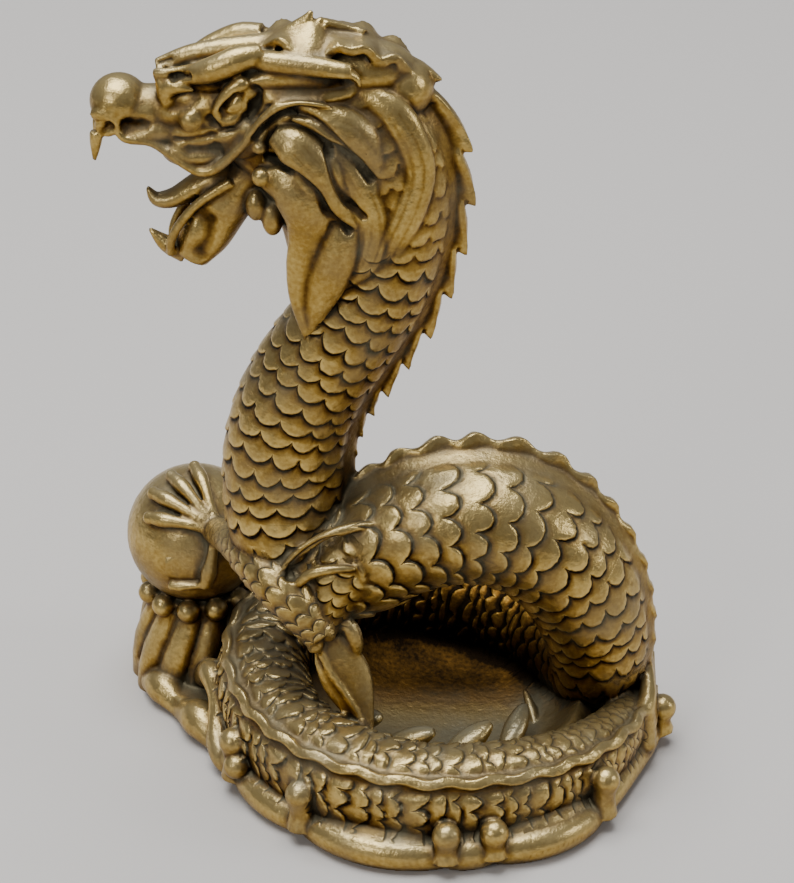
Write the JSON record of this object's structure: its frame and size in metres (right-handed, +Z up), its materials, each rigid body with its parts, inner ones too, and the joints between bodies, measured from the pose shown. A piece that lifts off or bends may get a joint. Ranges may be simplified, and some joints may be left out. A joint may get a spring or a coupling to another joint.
{
  "type": "dragon sculpture",
  "caption": "Small cast dragon that coils on a cloud base, neck raised and jaws open, with one foreclaw on a pearl.",
  "frame": {"origin": "centre of the coil at the underside of the base, on the surface it stands on", "axes": "+Z up; the dragon looks along -X, and the pearl lies towards -X and +Y"},
  "size_m": [0.0337, 0.0275, 0.0482],
  "materials": {
    "brass": "satin cast surface with dark patina in the recesses"
  },
  "bodies": {
    "root": {"dragon_sculpture": "brass"}
  },
  "joints": []
}
